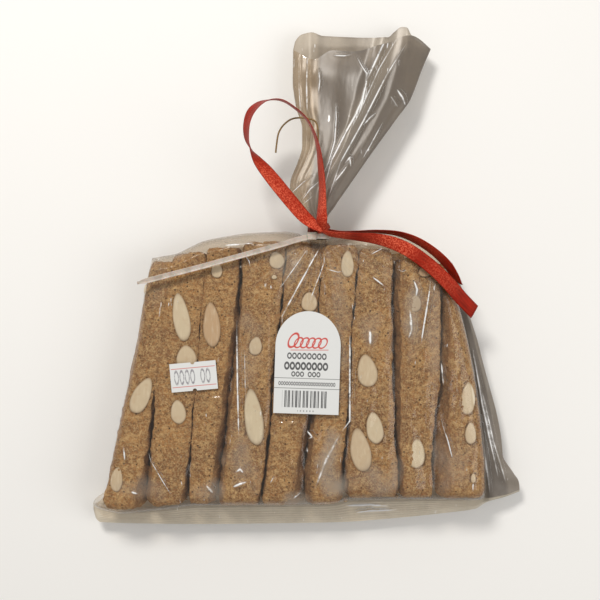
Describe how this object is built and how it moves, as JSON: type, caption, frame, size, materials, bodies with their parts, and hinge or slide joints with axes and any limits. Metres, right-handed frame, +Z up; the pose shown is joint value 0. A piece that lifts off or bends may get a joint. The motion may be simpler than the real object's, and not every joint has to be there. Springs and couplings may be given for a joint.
{
  "type": "pack of almond biscotti",
  "caption": "Clear gusseted film bag of long almond biscotti, gathered at the neck by a cable tie and a satin ribbon, with a fin seal below and a flared mouth.",
  "frame": {"origin": "on the floor, below the middle of the pack's bounding box", "axes": "+Y from the fin seal at the bottom of the bag to its open mouth, +Z up out of the shown front face, +X to the right as the label is read"},
  "size_m": [0.2059, 0.2408, 0.0432],
  "materials": {
    "film_and_contents": "clear glossy film over baked crumb",
    "label_paper": "smooth coated paper",
    "sticker_paper": "matt paper",
    "tie_nylon": "natural nylon, faintly satin",
    "ribbon_satin": "woven satin",
    "thread": "fine dull thread"
  },
  "bodies": {
    "root": {"bag": "film_and_contents", "label": "label_paper", "date_sticker": "sticker_paper", "cable_tie": "tie_nylon", "ribbon_knot": "ribbon_satin", "ribbon_loop": "ribbon_satin", "ribbon_tail_front": "ribbon_satin", "ribbon_tail_rear": "ribbon_satin", "ribbon_thread": "thread"}
  },
  "joints": []
}
